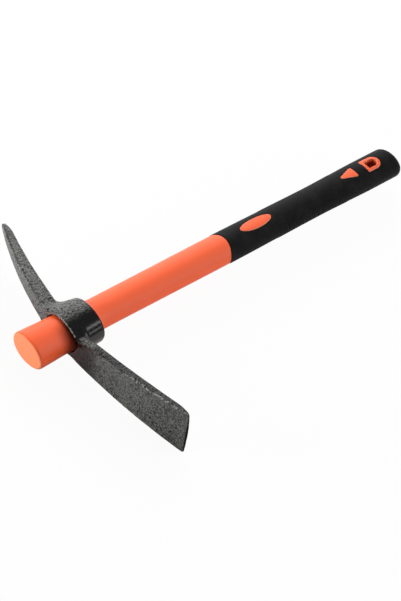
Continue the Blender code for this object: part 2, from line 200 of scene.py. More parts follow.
class Finish:
    """A procedural material: subclasses say what varies over the surface."""

    name = "finish"

    def make(self) -> bpy.types.Material:
        """Build the material.

        Returns:
            The new material, with its shader wired to the output.
        """
        material = bpy.data.materials.new(self.name)
        material.use_nodes = True
        sheet = Sheet(material.node_tree)
        place = sheet.node("ShaderNodeTexCoord", out="Object")
        shader = sheet.node("ShaderNodeBsdfPrincipled", values=self.surface(sheet, place))
        sheet.node("ShaderNodeOutputMaterial", values={"Surface": shader})
        return material

    def surface(self, sheet: Sheet, place: Wire) -> dict:
        """Return the Principled shader's inputs."""
        raise NotImplementedError

    @staticmethod
    def grain(sheet: Sheet, place: Wire, scale: float, detail: float, rough: float = 0.5) -> Wire:
        """Return noise from 0 to 1 that is even in all directions."""
        values = {"Vector": place, "Scale": scale, "Detail": detail, "Roughness": rough}
        return sheet.node("ShaderNodeTexNoise", values=values, out="Fac")

    @staticmethod
    def relief(sheet: Sheet, height: Wire, depth: float, under: Wire | None = None) -> Wire:
        """Return a bumped normal for a height of 0 to 1 that stands for a depth in metres.

        Args:
            sheet: The material's node tree.
            height: The height, from 0 to 1.
            depth: What a height of 1 stands for, in metres.
            under: A normal that the bump is added to.

        Returns:
            The normal.
        """
        values = {"Height": height, "Distance": depth, "Strength": 1.0}
        if under:
            values["Normal"] = under
        return sheet.node("ShaderNodeBump", values=values, out="Normal")

    @staticmethod
    def marked(sheet: Sheet, name: str) -> Wire:
        """Return a number that the mesh carries at each point."""
        return sheet.node("ShaderNodeAttribute", {"attribute_name": name}, out="Fac")


@dataclass(frozen=True)
class HammeredPaint(Finish):
    """Dark paint over a forged, pitted surface, worn to bright steel on the front edges."""

    name: str = "hammered_paint"
    dark: tuple = colour(0.0060, 0.0066, 0.0062)
    grey: tuple = colour(0.138, 0.142, 0.133)
    steel: tuple = colour(0.34, 0.34, 0.33)
    # Near black for the cutting edge's narrow end.
    edge_end: tuple = colour(0.007, 0.007, 0.007)
    speck_scale: float = 700.0
    dent_scale: float = 540.0
    pit_scale: float = 260.0
    cloud_scale: float = 70.0
    dent_depth: float = 0.0010
    pit_depth: float = 0.0009

    def surface(self, sheet: Sheet, place: Wire) -> dict:
        """Return speckled paint with pits, wear, painted light and shade, and a dark cutting edge end,
        where the mesh says so.

        Args:
            sheet: The material's node tree.
            place: Object coordinates.

        Returns:
            The Principled shader's inputs.
        """
        names = ("speckle_and_painted_light", "edge_wear", "open_face", "smooth_side", "edge_end_dark")
        speckle_and_painted_light, wear, open_face, smooth, edge_end = (self.marked(sheet, name) for name in names)
        fine = self.grain(sheet, place, self.speck_scale, 2.0, 0.6)
        coarse = self.grain(sheet, place, self.dent_scale, 2.0, 0.6)
        cloud = self.grain(sheet, place, self.cloud_scale, 2.0)
        cells = {"Vector": place, "Scale": self.pit_scale}
        away = sheet.node("ShaderNodeTexVoronoi", {"feature": "F1"}, cells, "Distance")
        chosen = sheet.node("ShaderNodeSeparateColor", values={"Color": away.out("Color")})
        pit = sheet.ease(away, 0.30, 0.12) * sheet.ease(chosen, 0.62, 0.66) * (1.0 - smooth)
        # The light grey speckle stands partly for glints, and its amount from the mesh carries painted
        # light and shade.
        lighter = (0.12 + sheet.ease(fine, 0.42, 0.60) * 0.88) * speckle_and_painted_light
        base = sheet.blend(lighter * (1.0 - pit) * (0.5 + cloud), self.dark, self.grey)
        ragged = wear + (coarse - 0.5) * 1.6 + (fine - 0.5) * 1.2
        chipped = sheet.ease(ragged, 0.52, 0.82)
        worn = sheet.blend(edge_end, sheet.blend(chipped, base, self.steel), self.edge_end)
        dimples = coarse * (1.0 - open_face * 0.45) * (1.0 - smooth)
        bump = self.relief(sheet, dimples, self.dent_depth)
        rough = 0.28 + (fine - 0.5) * (1.0 - smooth) * 0.2
        return {
            "Base Color": worn,
            "Metallic": sheet.maths("MAXIMUM", chipped * 0.3, edge_end),
            "Roughness": rough + open_face * 0.14 - smooth * 0.12 + pit * 0.4,
            "Specular IOR Level": 0.62,
            "Normal": self.relief(sheet, 1.0 - pit, self.pit_depth, bump),
        }


@dataclass(frozen=True)
class OrangePlastic(Finish):
    """Smooth moulded orange plastic, painted paler on its flat end and on the marks' edges as painted
    light, and darker in the hanging hole and next to the collar as painted shade.
    """

    name: str = "orange_plastic"
    orange: tuple = colour(0.97, 0.119, 0.030)
    # Paler orange, painted on the flat end as painted light.
    pale: tuple = colour(1.0, 0.29, 0.128)
    milky: tuple = colour(1.0, 0.18, 0.06)
    # Pale orange for a highlight painted on the marks' rounded edges.
    rim: tuple = colour(1.0, 0.42, 0.26)
    # Dark red for painted shade.
    painted_shade: tuple = colour(0.16, 0.012, 0.004)
    end_depth: float = 0.0011
    hole_start: float = 0.36
    hole_side: Span = (0.0048, 0.0046)
    hole_depth: Span = (0.0098, 0.0062)
    # Where the painted shade on the stub's blade side, next to the collar, comes in and where it fades.
    collar_shade_front: Span = (0.0190, 0.0315)
    collar_shade_back: Span = (0.036, 0.033)
    collar_shade_side: Span = (-0.002, 0.012)

    def surface(self, sheet: Sheet, place: Wire) -> dict:
        """Return plastic with faint flow marks and fine scuffs, and painted light and shade.

        Args:
            sheet: The material's node tree.
            place: Object coordinates.

        Returns:
            The Principled shader's inputs.
        """
        along = sheet.node("ShaderNodeSeparateXYZ", values={"Vector": place}, out="Y")
        side, height = along.out("X"), along.out("Z")
        # Painted shade: darker in the hanging hole, and on the stub's blade side next to the collar, where
        # the collar and blade cast shade. The finish is rougher there so it doesn't shine.
        in_hole = sheet.ease(along, self.hole_start, self.hole_start + 0.001) * 0.84
        for across, span in ((side, self.hole_side), (height, self.hole_depth)):
            in_hole = in_hole * sheet.ease(across * across, span[0] ** 2, span[1] ** 2)
        collar_shade = sheet.ease(along, *self.collar_shade_front) * sheet.ease(along, *self.collar_shade_back)
        collar_shade = collar_shade * sheet.ease(side, *self.collar_shade_side)
        shade_share = sheet.maths("MAXIMUM", in_hole, collar_shade * 0.8)
        flow = self.grain(sheet, place, 38.0, 2.0)
        fine = self.grain(sheet, place, 900.0, 2.0)
        # Painted light: the flat end is painted paler; it is also rougher.
        at_end = 1.0 - sheet.ease(along, 0.2 * self.end_depth, self.end_depth)
        base = sheet.blend(at_end, self.orange, self.pale)
        base = sheet.blend(flow * 0.10, base, self.milky)
        # Painted highlight on the marks' rounded edges.
        base = sheet.blend(self.marked(sheet, "mark_rim_highlight") * 0.6, base, self.rim)
        return {
            "Base Color": sheet.blend(shade_share, base, self.painted_shade),
            "Roughness": 0.36 + (flow - 0.5) * 0.06 + at_end * 0.2 + collar_shade * 0.5,
            "Specular IOR Level": 0.38,
            "Normal": self.relief(sheet, fine, 0.00003),
        }


@dataclass(frozen=True)
class SoftRubber(Finish):
    """Black thermoplastic rubber with a fine moulded grain."""

    name: str = "soft_rubber"
    black: tuple = colour(0.0094, 0.0098, 0.0096)
    lighter: tuple = colour(0.014, 0.0145, 0.014)

    def surface(self, sheet: Sheet, place: Wire) -> dict:
        """Return matt black with a fine grain and faint handling marks.

        Args:
            sheet: The material's node tree.
            place: Object coordinates.

        Returns:
            The Principled shader's inputs.
        """
        fine = self.grain(sheet, place, 1500.0, 2.0)
        marks = self.grain(sheet, place, 95.0, 4.0, 0.6)
        return {
            "Base Color": sheet.blend(sheet.ease(marks, 0.42, 0.70), self.black, self.lighter),
            "Roughness": 0.56 + (marks - 0.5) * 0.16,
            "Specular IOR Level": 0.11,
            "Normal": self.relief(sheet, fine, 0.00006),
        }


@dataclass(frozen=True)
class GlassRod(Finish):
    """Pultruded fibreglass: long pale fibres in amber resin."""

    name: str = "glass_rod"

    def surface(self, sheet: Sheet, place: Wire) -> dict:
        """Return streaks that run along the bar.

        Args:
            sheet: The material's node tree.
            place: Object coordinates.

        Returns:
            The Principled shader's inputs.
        """
        drawn = sheet.node("ShaderNodeMapping", values={"Vector": place, "Scale": (900.0, 14.0, 900.0)})
        fibres = self.grain(sheet, drawn, 1.0, 4.0, 0.65)
        return {
            "Base Color": sheet.blend(fibres, colour(0.42, 0.36, 0.17), colour(0.70, 0.66, 0.48)),
            "Roughness": 0.42 + fibres * 0.2,
            "Normal": self.relief(sheet, fibres, 0.00008),
        }


def ease(value: Grid, start: float, end: float) -> Grid:
    """Return a smooth step from 0 at start to 1 at end, for numbers or arrays."""
    share = np.clip((value - start) / (end - start), 0.0, 1.0)
    return share * share * (3.0 - 2.0 * share)


def lerp(start: Grid | float, end: Grid | float, share: Grid | float) -> Grid:
    """Return what lies a share of the way from start to end."""
    return start + (end - start) * share


def both(first: Grid, second: Grid, radius: Grid | float) -> Grid:
    """Return the distance field of what lies in both solids, their shared edge rounded."""
    outside = np.hypot(np.maximum(first + radius, 0.0), np.maximum(second + radius, 0.0))
    return np.minimum(np.maximum(first, second), -radius) + outside


def either(first: Grid, second: Grid, radius: Grid | float) -> Grid:
    """Return the distance field of two joined solids, with a fillet between them."""
    inside = np.hypot(np.maximum(radius - first, 0.0), np.maximum(radius - second, 0.0))
    return np.maximum(np.minimum(first, second), radius) - inside


def near_edge(first: Grid, second: Grid, full: float, none: float) -> Grid:
    """Return 1 near the edge where two faces meet and 0 away from it, from the depths below both."""
    return ease(np.hypot(first, second), none, full)


def oval_field(x: Grid, z: Grid, blade: Grid, tine: Grid, flat: Grid) -> Grid:
    """Return about how far points lie outside an egg-shaped bar, from its three half sizes.

    Args:
        x: Points' X.
        z: Points' Z.
        blade: The bar's half size to the blade side.
        tine: Its half size to the tine side.
        flat: Its half thickness.

    Returns:
        Distances in metres, negative inside.
    """
    half_x = np.where(x > 0.0, blade, tine)
    reach = np.hypot(x / half_x, z / flat) + 1e-9
    slope = np.hypot(x / half_x ** 2, z / flat ** 2) + 1e-9
    return reach * (reach - 1.0) / slope


@dataclass(frozen=True)
class Station:
    """The handle's section at one place along Y: half sizes to the blade, tine and flat sides."""

    along: float
    blade: float
    tine: float
    flat: float

    @property
    def halves(self) -> Triple:
        """Return the three half sizes."""
        return self.blade, self.tine, self.flat


@dataclass
class HandleForm:
    """The oval handle's form, which the jacket, the grip and the eye's hole share."""

    length: float
    stub: float = 0.0323
    eye_depth: float = 0.0273
    neck_run: float = 0.010
    waist_from_butt: float = 0.100
    swell_from_butt: float = 0.034
    grip_length: float = 0.2005
    grip_wall: float = 0.0020
    grip_proud: float = 0.0003
    sweep: float = 0.0045
    sweep_run: float = 0.02

    def __post_init__(self) -> None:
        """Place the eye's back and the grip's front, and set the stations between them."""
        self.eye_back = self.stub + self.eye_depth
        self.grip_front = self.length - self.grip_length
        self.stations = [
            Station(0.0, 0.0191, 0.0167, 0.0134),
            Station(self.stub, 0.0180, 0.0159, 0.0126),
            Station(self.eye_back + self.neck_run, 0.0143, 0.0143, 0.01025),
            Station(self.grip_front, 0.0149, 0.0149, 0.0107),
            Station(self.length - self.waist_from_butt, 0.0142, 0.0142, 0.0101),
            Station(self.length - self.swell_from_butt, 0.0154, 0.0154, 0.0110),
            Station(self.length, 0.0154, 0.0154, 0.0110),
        ]

    def half(self, along: Grid) -> tuple[Grid, Grid, Grid]:
        """Return the handle's half sizes at places along Y, eased between the stations.

        Args:
            along: Places along Y.

        Returns:
            Half sizes to the blade, tine and flat sides.
        """
        halves = [np.zeros_like(along) + size for size in self.stations[0].halves]
        for low, high in zip(self.stations, self.stations[1:]):
            share = ease(along, low.along, high.along)
            sizes = zip(halves, low.halves, high.halves)
            halves = [half + (end - start) * share for half, start, end in sizes]
        return tuple(halves)

    def top(self, x: float, y: float) -> float:
        """Return the height of the handle's upper surface over a point of its flat plane.

        Args:
            x: The point's X.
            y: The point's Y.

        Returns:
            The height in metres.
        """
        blade, tine, flat = self.half(np.array([y]))
        share = min(abs(x) / float(blade[0] if x > 0.0 else tine[0]), 1.0)
        return float(flat[0]) * math.sqrt(1.0 - share * share)


def new_piece(name: str, mesh: bpy.types.Mesh) -> bpy.types.Object:
    """Link a new object for a mesh.

    Args:
        name: The object's name.
        mesh: Its mesh.

    Returns:
        The object, at the origin.
    """
    piece = bpy.data.objects.new(name, mesh)
    bpy.context.scene.collection.objects.link(piece)
    return piece


def face_outwards(mesh: bpy.types.Mesh, merge: float = 0.0) -> None:
    """Point a closed mesh's faces outwards.

    Args:
        mesh: The mesh.
        merge: Points closer than this are merged first.
    """
    shape = bmesh.new()
    shape.from_mesh(mesh)
    if merge:
        bmesh.ops.remove_doubles(shape, verts=shape.verts, dist=merge)
    bmesh.ops.recalc_face_normals(shape, faces=shape.faces)
    shape.to_mesh(mesh)
    shape.free()


def store(mesh: bpy.types.Mesh, marks: dict[str, Grid]) -> None:
    """Store numbers on a mesh's points, under their names.

    Args:
        mesh: The mesh.
        marks: One number for each point, by attribute name.
    """
    for name, values in marks.items():
        layer = mesh.attributes.new(name, "FLOAT", "POINT")
        layer.data.foreach_set("value", np.asarray(values, np.float32))


def settle(piece: bpy.types.Object) -> None:
    """Turn a piece's modifiers into its mesh and remove them.

    Args:
        piece: The object.
    """
    bpy.context.view_layer.update()
    graph = bpy.context.evaluated_depsgraph_get()
    mesh = bpy.data.meshes.new_from_object(piece.evaluated_get(graph))
    piece.modifiers.clear()
    piece.data = mesh


def combine(piece: bpy.types.Object, operand: bpy.types.Object, operation: str) -> None:
    """Apply an exact Boolean.

    Args:
        piece: The object that is changed.
        operand: The other object, which is then removed.
        operation: DIFFERENCE or UNION.
    """
    modifier = piece.modifiers.new(operation.title(), "BOOLEAN")
    modifier.operation = operation
    modifier.solver = "EXACT"
    modifier.object = operand
    settle(piece)
    bpy.data.objects.remove(operand, do_unlink=True)


def dress(piece: bpy.types.Object, finish: bpy.types.Material, angle: float = 35.0) -> None:
    """Give a finished piece its material, shading, body and material slot.

    Args:
        piece: The object.
        finish: Its material.
        angle: Edges sharper than this many degrees stay sharp.
    """
    piece.data.materials.clear()
    piece.data.materials.append(finish)
    piece.data.shade_smooth()
    piece.data.set_sharp_from_angle(angle=math.radians(angle))
    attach(piece, BODY)
    LOG.info("%s: %d faces", piece.name, len(piece.data.polygons))


@dataclass
class Arm:
    """One arm of the head: its front face is an arc in the XY plane, and it tapers along it."""

    side: float
    start: float
    reach: float
    slope: float
    bend: float
    lift: float

    def place(self, x: Grid, y: Grid) -> tuple[Grid, Grid, Grid]:
        """Return where points lie beside the arm.

        Args:
            x: Points' X.
            y: Points' Y.

        Returns:
            Share of the way along the arm, distance past its end and depth behind its front.
        """
        radius = (self.reach - self.start) / (math.sin(self.slope + self.bend) - math.sin(self.slope))
        from_x = self.side * x - self.start + radius * math.sin(self.slope)
        from_y = y - self.lift - radius * math.cos(self.slope)
        angle = np.arctan2(from_x, -from_y)
        share = (angle - self.slope) / self.bend
        past_end = radius * (angle - self.slope - self.bend)
        return share, past_end, radius - np.hypot(from_x, from_y)


@dataclass
class ForgedHead:
    """One forging, an eye with a pick tine and a mattock blade, drawn as a distance field.

    A pair of sizes is a half width and a thickness, or sizes at a root and at a tip.
    """

    form: HandleForm
    front_half: Triple = (0.0233, 0.0268, 0.0156)
    back_half: Triple = (0.0213, 0.0199, 0.0156)
    low_fullness: float = 0.052
    back_edge: float = 0.0010
    rim_edge: float = 0.0007
    hole_edge: float = 0.0006
    mouth_flare: float = 0.0009
    mouth_depth: float = 0.0060
    fit_gap: float = 0.0003
    tine_root: Point = (0.0078, 0.0126)
    tine_tip: Point = (0.0030, 0.0056)
    tine_edges: Point = (0.0020, 0.0009)
    tine_front_edge: float = 0.0012
    tip_edge: float = 0.0012
    taper_power: float = 1.45
    nose_length: float = 0.0150
    nose_drop: Point = (0.0010, 0.0026)
    blade_root: Point = (0.0139, 0.0070)
    blade_heel: Point = (0.0214, 0.0046)
    blade_edges: Point = (0.0012, 0.0003)
    plan_corner: Point = (0.0011, 0.0024)
    root_waist: float = 0.0034
    waist_span: Span = (0.036, 0.023)
    shoulder_edge: float = 0.0048
    shoulder_in: Span = (0.0195, 0.0245)
    shoulder_out: Span = (0.080, 0.036)
    upper_side: Span = (-0.002, 0.004)
    edge_thickness: float = 0.0007
    keen_edge: float = 0.00032
    keen_span: Span = (-0.0015, -0.0003)
    bevel: float = 0.0115
    front_bevel: Point = (0.0024, 0.0009)
    edge_bow: float = 0.0017
    worn_corner: float = 0.0012
    blade_front: Span = (0.014, 0.027)
    tine_front: Span = (0.016, 0.029)
    tine_edge_span: Span = (0.024, 0.045)
    side_fillet: float = 0.0022
    rear_fillets: Point = (0.0050, 0.0060)
    rear_span: Span = (-0.003, 0.003)
    cell: Triple = (0.00060, 0.00036, 0.00050)
    margin: float = 0.0021
    slope_step: float = 0.00004
    pulls: int = 4
    pull: float = 0.9
    hammer_blows: tuple[Point, Point] = ((90.0, 0.00009), (430.0, 0.00007))

    def __post_init__(self) -> None:
        """Place the two arms from the head's own box."""
        low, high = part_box("forged_head")
        self.tine = Arm(
            side=-1.0,
            start=0.026,
            reach=-low.x,
            slope=math.radians(11.6),
            bend=math.radians(14.4),
            lift=self.form.stub + 0.0016,
        )
        self.blade = Arm(
            side=1.0,
            start=0.024,
            reach=high.x + 0.0004,
            slope=math.radians(2.3),
            bend=math.radians(10.4),
            lift=self.form.stub - 0.0002,
        )

    def wall(self, x: Grid, y: Grid, z: Grid) -> Grid:
        """Return about how far points lie outside the eye's wall, which tapers to the back.

        Args:
            x: Points' X.
            y: Points' Y.
            z: Points' Z.

        Returns:
            Distances in metres, negative inside.
        """
        share = np.clip((y - self.form.stub) / self.form.eye_depth, -0.5, 1.5)
        halves = [lerp(front, back, share) for front, back in zip(self.front_half, self.back_half)]
        low_corner = ease(z, -0.003, -0.011) * ease(x, 0.003, 0.012) * ease(share, 0.2, 0.7)
        full = 1.0 + self.low_fullness * low_corner
        return oval_field(x / full, z / full, *halves)

    def field(self, x: Grid, y: Grid, z: Grid) -> Grid:
        """Return the signed distance to the head's surface.

        Args:
            x: Points' X.
            y: Points' Y.
            z: Points' Z.

        Returns:
            Distances in metres, negative inside.
        """
        stub = self.form.stub
        upper = ease(z, *self.upper_side)
        eye = both(self.wall(x, y, z), y - self.form.eye_back, self.back_edge)

        share, past, deep_t = self.tine.place(x, y)
        taper = np.clip(share, 0.0, 1.2) ** self.taper_power
        nose = np.clip(1.0 + past / self.nose_length, 0.0, 1.0) ** 2
        sizes = zip(self.tine_root, self.tine_tip, self.nose_drop)
        half, thick = (lerp(root, tip, taper) - drop * nose for root, tip, drop in sizes)
        rear_t = deep_t - thick
        tine = both(np.abs(z) - half, rear_t, lerp(*self.tine_edges, taper))
        tine = np.maximum(both(tine, past, self.tip_edge), x)

        share, past, deep_b = self.blade.place(x, y)
        length = self.blade.reach - self.blade.start
        flat = np.clip(share, -0.05, 1.0)
        half = lerp(self.blade_root[0], self.blade_heel[0], flat)
        half = half - self.root_waist * ease(x, *self.waist_span) * upper
        heel = np.clip(flat / (1.0 - self.bevel / length), 0.0, 1.0) ** 3
        ground = np.clip((flat - 1.0) * length / self.bevel + 1.0, 0.0, 1.0)
        thick = lerp(self.blade_root[1], self.blade_heel[1], heel)
        rear_b = deep_b - lerp(thick, self.edge_thickness, ground)
        bow = self.edge_bow * (z / self.blade_heel[0]) ** 2
        bow = bow + self.worn_corner * ease(z, 0.0, self.blade_heel[0])
        plan = both(np.abs(z) - half, past + bow, lerp(*self.plan_corner, ease(z, 0.0, 0.010)))
        blade = np.maximum(both(plan, rear_b, lerp(*self.blade_edges, ground)), -x)

        solid = eye
        for arm, rear, fillet in zip((tine, blade), (rear_t, rear_b), self.rear_fillets):
            solid = either(solid, arm, lerp(self.side_fillet, fillet, ease(rear, *self.rear_span)))

        chamfer = self.front_bevel[1] * ease(past + bow, -self.front_bevel[0], 0.0)
        front = lerp(stub - y, chamfer - deep_b, ease(x, *self.blade_front))
        front = lerp(front, -deep_t, ease(-x, *self.tine_front))
        edge = lerp(self.rim_edge, self.tine_front_edge, ease(-x, *self.tine_edge_span))
        shoulder = ease(x, *self.shoulder_in) * ease(x, *self.shoulder_out) * upper
        edge = lerp(edge, self.shoulder_edge, shoulder)
        edge = np.minimum(edge, lerp(1.0, self.keen_edge, ease(past, *self.keen_span)))
        solid = both(solid, front, edge)

        flare = self.fit_gap + self.mouth_flare * (1.0 - ease(y, stub, stub + self.mouth_depth))
        hole = oval_field(x, z, *(half + flare for half in self.form.half(y)))
        return both(solid, -hole, self.hole_edge)

    def normals(self, points: Grid) -> Grid:
        """Return which way is out of the surface at points near it.

        Args:
            points: Points, one row each.

        Returns:
            Unit directions, one row each.
        """
        shifts = np.eye(3) * self.slope_step
        slopes = [self.field(*(points + shift).T) - self.field(*(points - shift).T) for shift in shifts]
        slopes = np.array(slopes).T
        return slopes / (np.linalg.norm(slopes, axis=1, keepdims=True) + 1e-12)

    def mesh(self) -> bpy.types.Mesh:
        """Draw the head's surface as even quads, pull them onto the field and hammer them.

        Returns:
            The mesh, with its wear as attributes.
        """
        low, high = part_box("forged_head")
        reaches = zip(low, high, self.cell)
        axes = [np.arange(start - self.margin, end + self.margin, step) for start, end, step in reaches]
        points, faces = surface_net(self.field(*np.meshgrid(*axes, indexing="ij")), axes)
        for _ in range(self.pulls):
            away = self.field(*points.T)
            points = points - self.pull * self.normals(points) * away[:, None]
        normals = self.normals(points)
        relief = np.array([self.hammered(Vector(point)) for point in points])
        relief = relief * (1.0 - 0.9 * self.smooth_share(*points.T))
        points = points + normals * relief[:, None]
        mesh = bpy.data.meshes.new("forged_head")
        mesh.from_pydata(points.tolist(), [], faces.tolist())
        self.mark(mesh, points, normals)
        return mesh

    def smooth_share(self, x: Grid, y: Grid, z: Grid) -> Grid:
        """Return 1 on the eye's smooth blade side and 0 elsewhere."""
        return ease(x, -0.002, 0.008) * ease(self.wall(x, y, z), 0.0040, 0.0022)

    def hammered(self, point: Vector) -> float:
        """Return the forged surface's unevenness at a point, in metres."""
        return sum(height * noise.noise(point * scale) for scale, height in self.hammer_blows)

    def mark(self, mesh: bpy.types.Mesh, points: Grid, normals: Grid) -> None:
        """Store each point's amount of light speckle, which carries painted light and shade, and how worn,
        open to the front, smooth and dark at the cutting edge's end it is.

        Each ease names the two places, in metres, between which a mark comes in or fades.

        Args:
            mesh: The head's mesh.
            points: Its points.
            normals: Their outward directions.
        """
        x, y, z = points.T
        on_tine = ease(-x, 0.030, 0.050)
        rim = near_edge(self.wall(x, y, z), y - self.form.stub, 0.0005, 0.0014)
        rim = rim * ease(x, 0.024, 0.021) * ease(x, -0.010, 0.0) * ease(z, 0.0085, 0.0105)

        share, past, deep = self.blade.place(x, y)
        below = lerp(self.blade_root[0], self.blade_heel[0], share) - np.abs(z)
        blade = near_edge(below, deep, 0.0006, 0.0023) * ease(x, 0.044, 0.080)
        # The cutting edge's narrow end is painted near black.
        edge_end = ease(past, -0.0030, -0.0022) * ease(x, 0.10, 0.11)

        share, _, deep = self.tine.place(x, y)
        share = np.clip(share, 0.0, 1.0)
        below = lerp(self.tine_root[0], self.tine_tip[0], share) - np.abs(z)
        tine = near_edge(below, deep, 0.0006, 0.0018) * on_tine
        ridge = near_edge(below, deep - 0.0012, 0.0005, 0.0011) * on_tine
        thick = lerp(self.tine_root[1], self.tine_tip[1], share ** self.taper_power)
        rear = ease(deep - thick, -0.0032, -0.0014) * ease(-x, 0.034, 0.046)

        front = ease(-normals[:, 1], 0.55, 0.95)
        facing = front * ease(np.abs(x), 0.026, 0.048)
        strip = ease(np.abs(normals[:, 2]), 0.5, 0.8) * ease(x, 0.030, 0.050)
        # Painted shade: less light speckle on the blade's front face next to the stub, where the stub's
        # shadow falls.
        stub_shadow_share = front * ease(x, 0.054, 0.028) * ease(x, 0.0, 0.01)
        smooth = self.smooth_share(x, y, z)
        # Painted light and shade: more light speckle on front faces and on the tine, where it also stands
        # for glints, and less on the blade's narrow top and bottom faces. There is also less along the
        # tine's ridge and rear edge, and none on the smooth side.
        speckle_and_painted_light = 1.0 + facing * (0.46 - 0.58 * ease(x, 0.075, 0.118)) + 0.5 * ease(-x, 0.030, 0.048)
        less_speckle = ((stub_shadow_share, 0.9), (smooth, 1.0), (strip, 0.68), (ridge, 0.92), (rear, 0.5))
        for place, share in less_speckle:
            speckle_and_painted_light = speckle_and_painted_light * (1.0 - share * place)
        marks = {
            "speckle_and_painted_light": speckle_and_painted_light + 0.02,
            "edge_wear": 0.76 * rim + 0.64 * blade + 0.50 * tine,
            "open_face": facing,
            "smooth_side": smooth,
            "edge_end_dark": edge_end,
        }
        store(mesh, marks)

    def build(self) -> bpy.types.Object:
        """Build the finished head, which stands for the CAD head.

        Returns:
            The finished piece.
        """
        piece = new_piece("hammered_head", self.mesh())
        dress(piece, HammeredPaint().make(), 180.0)
        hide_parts("forged_head")
        return piece


def window(cuts: dict[int, tuple]) -> tuple[slice, ...]:
    """Return slices that cut a grid along some axes and keep it whole along the others."""
    return tuple(slice(*cuts.get(axis, (None,))) for axis in range(3))


def surface_net(values: Grid, axes: list[Grid]) -> tuple[Grid, Grid]:
    """Draw the zero surface of a field as one point in each crossed cell.

    Args:
        values: The field on a grid, negative inside.
        axes: The grid's places along X, Y and Z.

    Returns:
        Points, one row each, and quads of point numbers that face outwards.
    """
    inside = values < 0.0
    cells = tuple(size - 1 for size in values.shape)
    total = np.zeros(cells + (3,))
    count = np.zeros(cells)
    crossings = []
    for axis in range(3):
        near, far = (other for other in range(3) if other != axis)
        low, high = window({axis: (0, -1)}), window({axis: (1, None)})
        crossed = inside[low] != inside[high]
        fall = np.where(crossed, values[low] - values[high], 1.0)
        places = [axes[other][:size] for other, size in enumerate(crossed.shape)]
        spots = np.stack(np.meshgrid(*places, indexing="ij"), axis=-1)
        spots[..., axis] += np.where(crossed, values[low] / fall, 0.0) * (axes[axis][1] - axes[axis][0])
        for by_near, by_far in product((0, 1), repeat=2):
            take = window({near: (by_near, cells[near] + by_near), far: (by_far, cells[far] + by_far)})
            total += np.where(crossed[take][..., None], spots[take], 0.0)
            count += crossed[take]
        crossings.append(crossed)
    active = count > 0
    number = np.full(cells, -1)
    number[active] = np.arange(int(active.sum()))
    quads = []
    for axis, crossed in enumerate(crossings):
        near, far = (axis + 1) % 3, (axis + 2) % 3
        spots = np.argwhere(crossed[window({near: (1, -1), far: (1, -1)})])
        spots[:, [near, far]] += 1
        ring = []
        for by_near, by_far in ((0, 0), (-1, 0), (-1, -1), (0, -1)):
            moved = spots.copy()
            moved[:, near] += by_near
            moved[:, far] += by_far
            ring.append(number[tuple(moved.T)])
        ring = np.stack(ring, axis=1)
        turned = ~inside[tuple(spots.T)]
        ring[turned] = ring[turned][:, ::-1]
        quads.append(ring)
    return total[active] / count[active][:, None], np.vstack(quads)


@dataclass(frozen=True)
class ProfilePoint:
    """One point of a handle skin's profile: its place along Y, and what moves it off the oval."""

    along: float
    inset: float = 0.0
    sweep: float = 0.0
    shrink: float = 1.0
    outer: float = 1.0


@dataclass(frozen=True)
class RibBand:
    """A band of low ribs across the handle's sides."""

    height: float
    pitch: float
    start: float
    end: float


